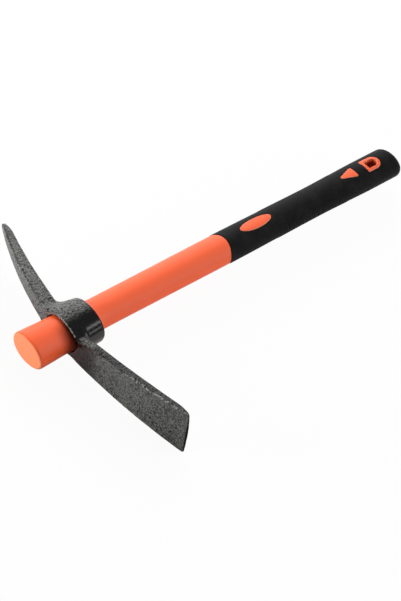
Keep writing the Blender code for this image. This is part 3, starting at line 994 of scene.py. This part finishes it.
class OvalSweep:
    """Geometry Nodes tree that turns a drawn profile into the handle's oval skin.

    The profile is a row of points whose Y is a place along the handle. Each point's inset,
    sweep and shrink are attributes. Ribs are raised on both sides where the tree is told to.
    """

    STATIONS = 7
    RIB_FADE = 2.0
    RIB_SIDE: Span = (0.34, 0.52)

    def __init__(self) -> None:
        """Build the tree."""
        self.tree = bpy.data.node_groups.new("oval_sweep", "GeometryNodeTree")
        self.sheet = Sheet(self.tree)
        self.keys: dict[str, str] = {}
        self.add_input("Profile", "NodeSocketGeometry")
        self.add_input("Sides", "NodeSocketInt")
        for index in range(self.STATIONS):
            self.add_input(f"Place {index + 1}", "NodeSocketFloat")
            self.add_input(f"Section {index + 1}", "NodeSocketVector")
        for name in ("Rib Height", "Rib Pitch", "Rib Start", "Rib End"):
            self.add_input(name, "NodeSocketFloat")
        self.add_input("Finish", "NodeSocketMaterial")
        self.tree.interface.new_socket("Skin", in_out="OUTPUT", socket_type="NodeSocketGeometry")
        self.wire()

    def add_input(self, name: str, kind: str) -> None:
        """Add one named input and keep its identifier."""
        socket = self.tree.interface.new_socket(name, in_out="INPUT", socket_type=kind)
        self.keys[name] = socket.identifier

    def attribute(self, name: str, kind: str = "FLOAT") -> Wire:
        """Return a named attribute of the geometry."""
        return self.sheet.node("GeometryNodeInputNamedAttribute", {"data_type": kind}, {"Name": name})

    def half_sizes(self, inputs: Wire, along: Wire) -> list[Wire]:
        """Return the blade, tine and flat half sizes at a place, eased between the stations.

        Args:
            inputs: The tree's inputs.
            along: The place along the handle.

        Returns:
            The three half sizes.
        """
        sheet = self.sheet
        places = [inputs.out(f"Place {index + 1}") for index in range(self.STATIONS)]
        parts = [
            sheet.node("ShaderNodeSeparateXYZ", values={"Vector": inputs.out(f"Section {index + 1}")})
            for index in range(self.STATIONS)
        ]
        shares = [sheet.ease(along, low, high) for low, high in zip(places, places[1:])]
        halves = []
        for axis in ("X", "Y", "Z"):
            total = parts[0].out(axis)
            for low, high, share in zip(parts, parts[1:], shares):
                total = total + (high.out(axis) - low.out(axis)) * share
            halves.append(total)
        return halves

    def ribs(self, inputs: Wire, along: Wire, side: Wire) -> Wire:
        """Return the height of the ribs that cross the grip's two sides.

        Args:
            inputs: The tree's inputs.
            along: The place along the handle.
            side: The place round it: 1 at the blade side, -1 at the tine side.

        Returns:
            The height in metres.
        """
        sheet = self.sheet
        start, end = inputs.out("Rib Start"), inputs.out("Rib End")
        turn = (along - start) / inputs.out("Rib Pitch") * math.tau
        wave = (1.0 - sheet.maths("COSINE", turn)) * 0.5
        fade = inputs.out("Rib Pitch") * self.RIB_FADE
        inside = sheet.ease(along, start, start + fade) * (1.0 - sheet.ease(along, end - fade, end))
        on_side = sheet.ease(side * side, *self.RIB_SIDE)
        return wave * wave * inside * on_side * inputs.out("Rib Height")

    def wire(self) -> None:
        """Wire the sweep, the oval rule, the ribs and the closing of the ends."""
        sheet = self.sheet
        inputs = sheet.node("NodeGroupInput")
        drawn = sheet.node("GeometryNodeMeshToCurve", values={"Mesh": inputs.out("Profile")})
        circle = sheet.node(
            "GeometryNodeCurvePrimitiveCircle", values={"Resolution": inputs.out("Sides"), "Radius": 1.0}
        )
        marked = sheet.node(
            "GeometryNodeStoreNamedAttribute",
            {"data_type": "FLOAT_VECTOR", "domain": "POINT"},
            {"Geometry": circle, "Name": "around", "Value": sheet.node("GeometryNodeInputPosition")},
        )
        swept = sheet.node("GeometryNodeCurveToMesh", values={"Curve": marked, "Profile Curve": drawn})
        ring = self.attribute("around", "FLOAT_VECTOR")
        around = sheet.node("ShaderNodeSeparateXYZ", values={"Vector": ring})
        side, height = around.out("X"), around.out("Y")
        along = self.attribute("along")
        inset = self.attribute("inset")
        shrink = self.attribute("shrink")
        blade, tine, flat = self.half_sizes(inputs, along)
        half_x = tine + (blade - tine) * sheet.maths("GREATER_THAN", side, 0.0)
        rib = self.ribs(inputs, along, side) * self.attribute("outer")
        place = sheet.node(
            "ShaderNodeCombineXYZ",
            values={
                "X": (half_x - inset + rib) * side * shrink,
                "Y": along - self.attribute("sweep") * side * side,
                "Z": (flat - inset + rib) * height * shrink,
            },
        )
        moved = sheet.node("GeometryNodeSetPosition", values={"Geometry": swept, "Position": place})
        merging = {"Geometry": moved, "Distance": DOUBLES}
        merged = sheet.node("GeometryNodeMergeByDistance", values=merging)
        real = sheet.node("GeometryNodeRealizeInstances", values={"Geometry": merged})
        finish = sheet.node(
            "GeometryNodeSetMaterial", values={"Geometry": real, "Material": inputs.out("Finish")}
        )
        sheet.node("NodeGroupOutput", values={"Skin": finish})

    def skin(
        self,
        name: str,
        profile: list[ProfilePoint],
        form: HandleForm,
        sides: int,
        finish: bpy.types.Material,
        ribs: RibBand | None = None,
    ) -> bpy.types.Object:
        """Sweep a profile into a closed skin.

        Args:
            name: The new object's name.
            profile: The profile's points, from one end of the skin to the other.
            form: The handle's form.
            sides: Points round the oval.
            finish: The skin's material.
            ribs: The band of ribs, if the skin has one.

        Returns:
            The skin as a plain mesh object at the origin.
        """
        mesh = bpy.data.meshes.new(name)
        rows = [(0.0, point.along, 0.0) for point in profile]
        mesh.from_pydata(rows, [(index, index + 1) for index in range(len(rows) - 1)], [])
        keys = ("along", "inset", "sweep", "shrink", "outer")
        store(mesh, {key: [float(getattr(point, key)) for point in profile] for key in keys})
        piece = new_piece(name, mesh)
        band = ribs or RibBand(0.0, 0.001, 0.0, 1.0)
        inputs = {
            "Sides": sides,
            "Finish": finish,
            "Rib Height": band.height,
            "Rib Pitch": band.pitch,
            "Rib Start": band.start,
            "Rib End": band.end,
        }
        for index, station in enumerate(form.stations):
            inputs[f"Place {index + 1}"] = station.along
            inputs[f"Section {index + 1}"] = station.halves
        modifier = piece.modifiers.new("Oval sweep", "NODES")
        modifier.node_group = self.tree
        for key, value in inputs.items():
            modifier[self.keys[key]] = value
        settle(piece)
        face_outwards(piece.data)
        return piece


def spaced(start: float, end: float, spacing: float) -> list[float]:
    """Return even places from start to end, both included."""
    count = max(1, math.ceil(abs(end - start) / spacing))
    return [lerp(start, end, step / count) for step in range(count + 1)]


def quarter(steps: int) -> list[Point]:
    """Return even steps of a quarter turn, each as 1 - sine and 1 - cosine."""
    angles = [0.5 * math.pi * step / steps for step in range(steps + 1)]
    return [(1.0 - math.sin(angle), 1.0 - math.cos(angle)) for angle in angles]


def closed_end(end: float, radius: float, inset: float, outer: float, opening: bool) -> list[ProfilePoint]:
    """Return profile points of a flat end with a rounded edge, its middle drawn to the axis.

    Args:
        end: The end's place along Y.
        radius: The edge's radius, positive at a far end and negative at a near one.
        inset: Inset of the bar that the end closes.
        outer: Mark of the points on the outside.
        opening: Whether the profile starts here, and so runs from the axis outwards.

    Returns:
        The points, in the profile's order.
    """
    points = [
        ProfilePoint(end - radius * back, inset + abs(radius) * drop, outer=outer)
        for back, drop in quarter(10)
    ]
    rim = points[-1]
    for shrink in (0.985, 0.93, 0.8, 0.6, 0.4, 0.2, 0.0):
        points.append(ProfilePoint(end, rim.inset, shrink=shrink, outer=outer))
    return points[::-1] if opening else points


def between(start: Point, end: Point, share: float) -> Point:
    """Return the point that lies a share of the way from start to end."""
    return lerp(start[0], end[0], share), lerp(start[1], end[1], share)


def arc(centre: Point, radius: float, start: float, end: float, steps: int) -> list[Point]:
    """Return points on an arc in the handle's plane, angles in radians."""
    angles = [lerp(start, end, step / steps) for step in range(steps + 1)]
    return [(centre[0] + radius * math.cos(a), centre[1] + radius * math.sin(a)) for a in angles]


def looped(bends: list[list[Point]], steps: list[int]) -> list[Point]:
    """Join arcs into a closed outline.

    Args:
        bends: The arcs' points, in order.
        steps: Steps of the straight stretch after each arc.

    Returns:
        The outline's points, each once.
    """
    points = []
    for bend, after, count in zip(bends, bends[1:] + bends[:1], steps):
        points += bend[:-1]
        points += [between(bend[-1], after[0], step / count) for step in range(count)]
    return points


@dataclass(frozen=True)
class OvalMark:
    """The oval window near the grip's front edge."""

    centre: float
    half_length: float = 0.0168
    half_width: float = 0.0055
    steps: int = 96

    def outline(self, grow: float) -> list[Point]:
        """Return the outline grown all round.

        Args:
            grow: How far it is grown, in metres.

        Returns:
            Its points, each once.
        """
        wide, long = self.half_width + grow, self.half_length + grow
        angles = [math.tau * step / self.steps for step in range(self.steps)]
        return [(wide * math.cos(a), self.centre + long * math.sin(a)) for a in angles]


@dataclass(frozen=True)
class TriangleMark:
    """The triangular window, its tip towards the head."""

    tip: float
    length: float = 0.0200
    half_width: float = 0.0063
    corner: float = 0.0015

    def outline(self, grow: float) -> list[Point]:
        """Return the outline grown all round.

        Args:
            grow: How far it is grown, in metres.

        Returns:
            Its points, each once.
        """
        lean = math.atan2(self.half_width, self.length)
        base_y = self.tip + self.length - self.corner
        base_x = (base_y - self.tip) * math.tan(lean) - self.corner / math.cos(lean)
        tip_y = self.tip + self.corner / math.sin(lean)
        size = self.corner + grow
        right = arc((base_x, base_y), size, -lean, 0.5 * math.pi, 8)
        left = arc((-base_x, base_y), size, 0.5 * math.pi, math.pi + lean, 8)
        tip = arc((0.0, tip_y), size, math.pi + lean, math.tau - lean, 8)
        return looped([right, left, tip], [16, 24, 24])


@dataclass(frozen=True)
class HangerMark:
    """The rim round the hanging hole: flat to the head, arched to the butt."""

    flat: float
    length: float = 0.0180
    half_width: float = 0.0073
    corner: float = 0.0007

    def outline(self, grow: float) -> list[Point]:
        """Return the outline grown all round.

        Args:
            grow: How far it is grown, in metres.

        Returns:
            Its points, each once.
        """
        arch_y = self.flat + self.length - self.half_width
        corner_x = self.half_width - self.corner
        low = self.flat + self.corner
        size = self.corner + grow
        arch = arc((0.0, arch_y), self.half_width + grow, 0.0, math.pi, 40)
        left = arc((-corner_x, low), size, math.pi, 1.5 * math.pi, 6)
        right = arc((corner_x, low), size, 1.5 * math.pi, math.tau, 6)
        return looped([arch, left, right], [14, 20, 14])

    def hole(self, rim: float) -> "HangerMark":
        """Return the hole inside a rim of even width."""
        return HangerMark(self.flat + rim, self.length - 2.0 * rim, self.half_width - rim, self.corner)


def skin_rows(name: str, rows: list[list[tuple]], ring: bool) -> bpy.types.Object:
    """Skin rows of points round a mark.

    Args:
        name: The new object's name.
        rows: Closed rows of points, all of one length.
        ring: Whether the last row joins the first; otherwise both ends are closed.

    Returns:
        The closed solid.
    """
    count = len(rows[0])
    points = [point for row in rows for point in row]
    faces = []
    for row in range(len(rows) if ring else len(rows) - 1):
        low, high = row * count, (row + 1) % len(rows) * count
        for index in range(count):
            after = (index + 1) % count
            faces.append((low + index, low + after, high + after, high + index))
    if not ring:
        faces += [tuple(range(count)), tuple(range(len(points) - count, len(points)))]
    mesh = bpy.data.meshes.new(name)
    mesh.from_pydata(points, [], faces)
    face_outwards(mesh, DOUBLES)
    return new_piece(name, mesh)


@dataclass
class Handle:
    """The moulded handle: orange jacket with raised marks, and the soft grip round it."""

    form: HandleForm
    butt_wall: float = 0.0032
    butt_radius: float = 0.0068
    end_radius: float = 0.0020
    fit_gap: float = 0.0003
    lip_radius: float = 0.0006
    mark_gap: float = 0.00014
    mark_edge: float = 0.0007
    mark_proud: float = 0.00035
    mark_root: float = 0.0022
    rim: float = 0.0030
    sides: int = 144
    reach: float = 0.03

    def __post_init__(self) -> None:
        """Place the three marks and the ribs from the handle's two ends."""
        front, length = self.form.grip_front, self.form.length
        self.oval = OvalMark(front + 0.0345)
        self.triangle = TriangleMark(length - 0.0690)
        self.hanger = HangerMark(length - 0.0375)
        self.ribs = RibBand(0.00028, 0.0021, front + 0.0485, length - 0.0650)

    def run(
        self,
        start: float,
        end: float,
        spacing: float,
        inset: float = 0.0,
        swept: Span | None = None,
        outer: float = 1.0,
    ) -> list[ProfilePoint]:
        """Return a straight run of profile points, without its first.

        Args:
            start: Where it starts along Y.
            end: Where it ends.
            spacing: The most that points are apart.
            inset: How far it lies inside the handle's oval.
            swept: Where the sweep of the grip's front edge starts, and where it is full.
            outer: Mark of the points on the outside.

        Returns:
            The points.
        """
        points = []
        for y in spaced(start, end, spacing)[1:]:
            sweep = self.form.sweep * float(ease(y, *swept)) if swept else 0.0
            points.append(ProfilePoint(y, inset, sweep, outer=outer))
        return points

    def jacket_profile(self) -> list[ProfilePoint]:
        """Return the jacket's profile, from its head end to its end under the butt.

        Returns:
            The profile's points.
        """
        front, wall, sweep_run = self.form.grip_front, self.form.grip_wall, self.form.sweep_run
        end = self.form.length - self.butt_wall
        radius = self.butt_radius - self.butt_wall
        bend, straight = front - sweep_run, front + sweep_run
        points = closed_end(0.0, -self.end_radius, 0.0, 1.0, True)
        points += self.run(self.end_radius, bend, 0.002)
        points += self.run(bend, front, 0.002, swept=(bend, front))
        points.append(ProfilePoint(front, wall, self.form.sweep))
        points += self.run(front, straight, 0.002, wall, (straight, front))
        points += self.run(straight, end - radius, 0.004, wall)[:-1]
        return points + closed_end(end, radius, wall, 1.0, False)

    def grip_profile(self) -> list[ProfilePoint]:
        """Return the grip's profile: out of the bore, over the front edge and on to the butt.

        Returns:
            The profile's points.
        """
        form, lip, ribs = self.form, self.lip_radius, self.ribs
        bore = form.grip_wall - self.fit_gap
        front = form.grip_front + self.fit_gap
        straight = front + form.sweep_run
        far = form.length - self.butt_wall + self.fit_gap
        radius = self.butt_radius - self.butt_wall
        points = closed_end(far, radius, bore, 0.0, True)
        points += self.run(far - radius, straight, 0.006, bore, outer=0.0)
        points += self.run(straight, front, 0.003, bore, (straight, front), 0.0)
        for drop, back in quarter(6):
            points.append(ProfilePoint(front + lip * back, lip * drop - form.grip_proud, form.sweep))
        points += self.run(front + lip, straight, 0.001, -form.grip_proud, (straight, front + lip))
        for start, end, spacing in (
            (straight, ribs.start, 0.0015),
            (ribs.start, ribs.end, ribs.pitch / 6.0),
            (ribs.end, form.length - self.butt_radius, 0.0015),
        ):
            points += self.run(start, end, spacing, -form.grip_proud)
        return points[:-1] + closed_end(form.length, self.butt_radius, -form.grip_proud, 1.0, False)

    def surface_row(self, outline: list[Point], drop: float) -> list[tuple]:
        """Return an outline's points laid on the handle's upper surface, lowered by a drop."""
        return [(x, y, self.form.top(x, y) - drop) for x, y in outline]

    def edge_rows(self, outline_at: Callable[[float], list[Point]], sign: float) -> list[list[tuple]]:
        """Return rows over a mark's rounded edge.

        Args:
            outline_at: Gives the mark's outline for a growth.
            sign: 1 where the edge falls outwards, -1 where it falls inwards.

        Returns:
            The rows, from the flat top to the wall.
        """
        rise = self.mark_proud + self.form.grip_proud
        steps = [(self.mark_edge * back, self.mark_edge * drop) for back, drop in quarter(5)]
        return [self.surface_row(outline_at(-sign * back), drop - rise) for back, drop in steps]

    def pad(self, mark: OvalMark | TriangleMark, flip: bool) -> bpy.types.Object:
        """Build a raised mark whose crowned top follows the handle, on one face of it.

        Args:
            mark: The mark.
            flip: Whether it is on the lower face.

        Returns:
            The closed solid.
        """
        top, outer = mark.outline(-self.mark_edge), mark.outline(0.0)
        middle = tuple(sum(values) / len(top) for values in zip(*top))
        rise = self.mark_proud + self.form.grip_proud
        floor = self.form.grip_wall + self.mark_root
        rows = []
        for share in (0.03, 0.2, 0.4, 0.6, 0.8, 0.92):
            rows.append(self.surface_row([between(middle, point, share) for point in top], -rise))
        rows += self.edge_rows(mark.outline, 1.0)
        for share in (1.0, 0.03):
            ring = [between(middle, point, share) for point in outer]
            rows.append([(x, y, self.form.top(x, y) - floor) for x, y in ring])
        if flip:
            rows = [[(x, y, -z) for x, y, z in row] for row in rows]
        return skin_rows("mark", rows, False)

    def hanger_ring(self) -> bpy.types.Object:
        """Build the hanging hole's rim, which runs right through the handle.

        Returns:
            The closed solid.
        """
        hole = self.hanger.hole(self.rim)
        rise = self.mark_proud + self.form.grip_proud
        flats = list(zip(self.hanger.outline(-self.mark_edge), hole.outline(self.mark_edge)))
        upper = self.edge_rows(self.hanger.outline, 1.0)[::-1]
        for share in (0.25, 0.5, 0.75):
            upper.append(self.surface_row([between(*pair, share) for pair in flats], -rise))
        upper += self.edge_rows(hole.outline, -1.0)
        lower = [[(x, y, -z) for x, y, z in row] for row in upper[::-1]]
        wall = [[(x, y, lerp(z, -z, share)) for x, y, z in upper[-1]] for share in (0.25, 0.5, 0.75)]
        return skin_rows("hanger_ring", upper + wall + lower, True)

    def prism(self, name: str, outline: list[Point]) -> bpy.types.Object:
        """Return an outline extruded right through the handle, as a cutter."""
        rows = [[(x, y, z) for x, y in outline] for z in (-self.reach, self.reach)]
        return skin_rows(name, rows, False)

    def build_jacket(self, sweep: OvalSweep) -> bpy.types.Object:
        """Build the orange jacket with its raised marks and hanging hole.

        Args:
            sweep: The tree that sweeps it.

        Returns:
            The finished piece.
        """
        plastic = OrangePlastic().make()
        piece = sweep.skin("moulded_jacket", self.jacket_profile(), self.form, self.sides, plastic)
        hole = self.hanger.hole(self.rim)
        combine(piece, self.prism("hole_cutter", hole.outline(0.001)), "DIFFERENCE")
        combine(piece, self.hanger_ring(), "UNION")
        for mark in (self.oval, self.triangle):
            for flip in (False, True):
                combine(piece, self.pad(mark, flip), "UNION")
        self.paint_rim_highlights(piece.data)
        dress(piece, plastic)
        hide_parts("handle_jacket")
        return piece

    def paint_rim_highlights(self, mesh: bpy.types.Mesh) -> None:
        """Store which of the jacket's points lie on the marks' rounded edges, where a highlight is
        painted.

        Args:
            mesh: The jacket's mesh.
        """
        points = np.empty(3 * len(mesh.vertices), np.float32)
        mesh.vertices.foreach_get("co", points)
        x, y, z = points.reshape(-1, 3).T
        blade, tine, flat = self.form.half(y)
        share = np.clip(np.abs(x) / np.where(x > 0.0, blade, tine), 0.0, 1.0)
        surface = (flat + self.mark_proud + self.form.grip_proud) * np.sqrt(1.0 - share ** 2)
        drop = surface - np.abs(z)
        rim = ease(drop, 0.00002, 0.00010) * ease(drop, 0.0010, 0.0007)
        store(mesh, {"mark_rim_highlight": rim * (y > self.form.grip_front + 0.003)})

    def build_grip(self, sweep: OvalSweep) -> bpy.types.Object:
        """Build the ribbed sleeve with its three windows on each face.

        Args:
            sweep: The tree that sweeps it.

        Returns:
            The finished piece.
        """
        rubber = SoftRubber().make()
        profile = self.grip_profile()
        piece = sweep.skin("ribbed_grip", profile, self.form, self.sides, rubber, self.ribs)
        for index, mark in enumerate((self.oval, self.triangle, self.hanger)):
            combine(piece, self.prism(f"window_cutter_{index}", mark.outline(self.mark_gap)), "DIFFERENCE")
        dress(piece, rubber)
        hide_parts("soft_grip")
        return piece

    def dress_core(self) -> bpy.types.Object:
        """Give the sealed fibreglass bar its finish.

        Returns:
            The CAD node's object.
        """
        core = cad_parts["handle_core"]
        core.data.materials.clear()
        core.data.materials.append(GlassRod().make())
        LOG.info("%s: kept from the frame", core.name)
        return core


@dataclass
class Panel:
    """A soft studio lamp that points at the tool."""

    name: str
    place: Triple
    size: Point
    power: float
    mirrored: bool = False
    aim: Triple = (0.0, 0.12, 0.0)

    def hang(self) -> None:
        """Hang the lamp and turn it to its aim."""
        lamp = bpy.data.lights.new(self.name, "AREA")
        lamp.shape = "RECTANGLE"
        lamp.size, lamp.size_y = self.size
        lamp.energy = self.power
        holder = bpy.data.objects.new(self.name, lamp)
        bpy.context.scene.collection.objects.link(holder)
        holder.location = self.place
        holder.visible_glossy = self.mirrored
        way = Vector(self.aim) - Vector(self.place)
        holder.rotation_euler = way.to_track_quat("-Z", "Y").to_euler()


@dataclass
class Studio:
    """Pale floor, soft lamps, white surroundings and the photograph's camera."""

    lowest: float
    clearance: float = 0.0002
    floor_half: float = 6.0
    floor_matt: float = 0.80
    floor_white: float = 0.94
    ambient: float = 0.80
    least: float = 0.1
    from_behind: float = 2.25
    from_right: float = 0.50
    behind: Span = (-0.2, 0.8)
    ceiling_dim: float = 0.10
    ceiling_rise: Span = (0.08, 0.26)
    right_dim: float = 0.76
    right_turn: Span = (0.25, 0.55)
    left_turn: Span = (-0.38, -0.48)
    left_front: Span = (-0.45, -0.15)
    position: Triple = (0.62717, -0.52350, 0.89192)
    right: Triple = (0.653128, 0.746667, 0.126142)
    up: Triple = (-0.594385, 0.402286, 0.696328)
    back: Triple = (0.469180, -0.529768, 0.706552)
    lens: float = 95.84
    sensor: float = 36.0

    def seen(self, sheet: Sheet, mirrored: Wire) -> Wire:
        """Return 1 for rays from the camera, and what glossy or clear surfaces show for theirs.

        Args:
            sheet: The world's node tree.
            mirrored: How bright the surroundings are in a reflection.

        Returns:
            The strength.
        """
        path = sheet.node("ShaderNodeLightPath")
        shiny = sheet.maths("MAXIMUM", path.out("Is Glossy Ray"), path.out("Is Transmission Ray"))
        return sheet.maths("MAXIMUM", path.out("Is Camera Ray"), shiny * mirrored)

    def lay_floor(self) -> None:
        """Lay the pale floor that the tool lies on."""
        shape = bmesh.new()
        bmesh.ops.create_grid(shape, x_segments=1, y_segments=1, size=self.floor_half)
        mesh = bpy.data.meshes.new("floor")
        shape.to_mesh(mesh)
        shape.free()
        mesh.transform(Matrix.Translation((0.0, 0.0, self.lowest - self.clearance)))
        floor = new_piece("floor", mesh)
        material = bpy.data.materials.new("pale_floor")
        material.use_nodes = True
        sheet = Sheet(material.node_tree)
        matt = sheet.node("ShaderNodeBsdfDiffuse", values={"Color": colour(*[self.floor_matt] * 3)})
        lit = sheet.node("ShaderNodeEmission", values={"Color": colour(1.0, 1.0, 1.0), "Strength": 1.0})
        share = sheet.node("ShaderNodeLightPath", out="Is Camera Ray") * self.floor_white
        mixed = sheet.node("ShaderNodeMixShader", values={0: share, 1: matt, 2: lit})
        sheet.node("ShaderNodeOutputMaterial", values={"Surface": mixed})
        mesh.materials.append(material)

    def light(self) -> None:
        """Set what the tool mirrors and what lights it from all round, and hang the lamps."""
        world = bpy.data.worlds.new("studio")
        bpy.context.scene.world = world
        world.use_nodes = True
        sheet = Sheet(world.node_tree)
        way = sheet.node("ShaderNodeTexCoord", out="Generated")
        way = sheet.node("ShaderNodeSeparateXYZ", values={"Vector": way}, out="X")
        ceiling = 1.0 - sheet.ease(way.out("Z"), *self.ceiling_rise) * (1.0 - self.ceiling_dim)
        behind = sheet.ease(way.out("Y"), *self.behind) * self.from_behind
        ambient = (self.least + behind * (1.0 + way * self.from_right)) * self.ambient
        right = 1.0 - sheet.ease(way, *self.right_turn) * self.right_dim
        left = sheet.ease(way, *self.left_turn) * sheet.ease(way.out("Y"), *self.left_front)
        mirrored = sheet.maths("MAXIMUM", ceiling * right, left)
        matt = sheet.node("ShaderNodeLightPath", out="Is Diffuse Ray")
        strength = sheet.maths("MAXIMUM", self.seen(sheet, mirrored), matt * ambient)
        white = {"Color": colour(1.0, 1.0, 1.0), "Strength": strength}
        sky = sheet.node("ShaderNodeBackground", values=white)
        sheet.node("ShaderNodeOutputWorld", values={"Surface": sky})
        for panel in (
            Panel("key_panel", (-1.05, 0.81, 0.57), (1.6, 1.35), 19.0),
            Panel("front_panel", (-0.85, -0.95, 0.25), (0.7, 0.35), 16.0),
            Panel("strip_panel", (0.78, 0.815, 1.05), (0.07, 0.7), 0.8, True, (0.015, 0.05, 0.012)),
            Panel("patch_panel", (1.16, 0.86, 0.55), (0.07, 0.3), 0.22, True, (0.018, 0.052, 0.009)),
        ):
            panel.hang()

    def set_camera(self) -> None:
        """Put the camera where the photograph was taken from."""
        data = bpy.data.cameras.new("camera")
        data.lens = self.lens
        data.sensor_width = self.sensor
        data.sensor_height = self.sensor
        data.clip_start = 0.01
        camera = bpy.data.objects.new("camera", data)
        bpy.context.scene.collection.objects.link(camera)
        turn = Matrix((self.right, self.up, self.back)).transposed()
        camera.matrix_world = Matrix.Translation(self.position) @ turn.to_4x4()
        bpy.context.scene.camera = camera


def main() -> None:
    """Build the pieces in order, then the studio."""
    logging.basicConfig(level=logging.INFO, format="%(name)s: %(message)s")
    bpy.context.scene.view_settings.view_transform = "Standard"
    low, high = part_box("soft_grip")
    form = HandleForm(high.y)
    LOG.info("grip runs from %.4f to %.4f m", low.y, high.y)
    ForgedHead(form).build()
    sweep = OvalSweep()
    handle = Handle(form)
    handle.build_jacket(sweep)
    handle.build_grip(sweep)
    handle.dress_core()
    studio = Studio(CAD_BOX[0].z)
    studio.lay_floor()
    studio.light()
    studio.set_camera()


if __name__ == "__main__":
    main()
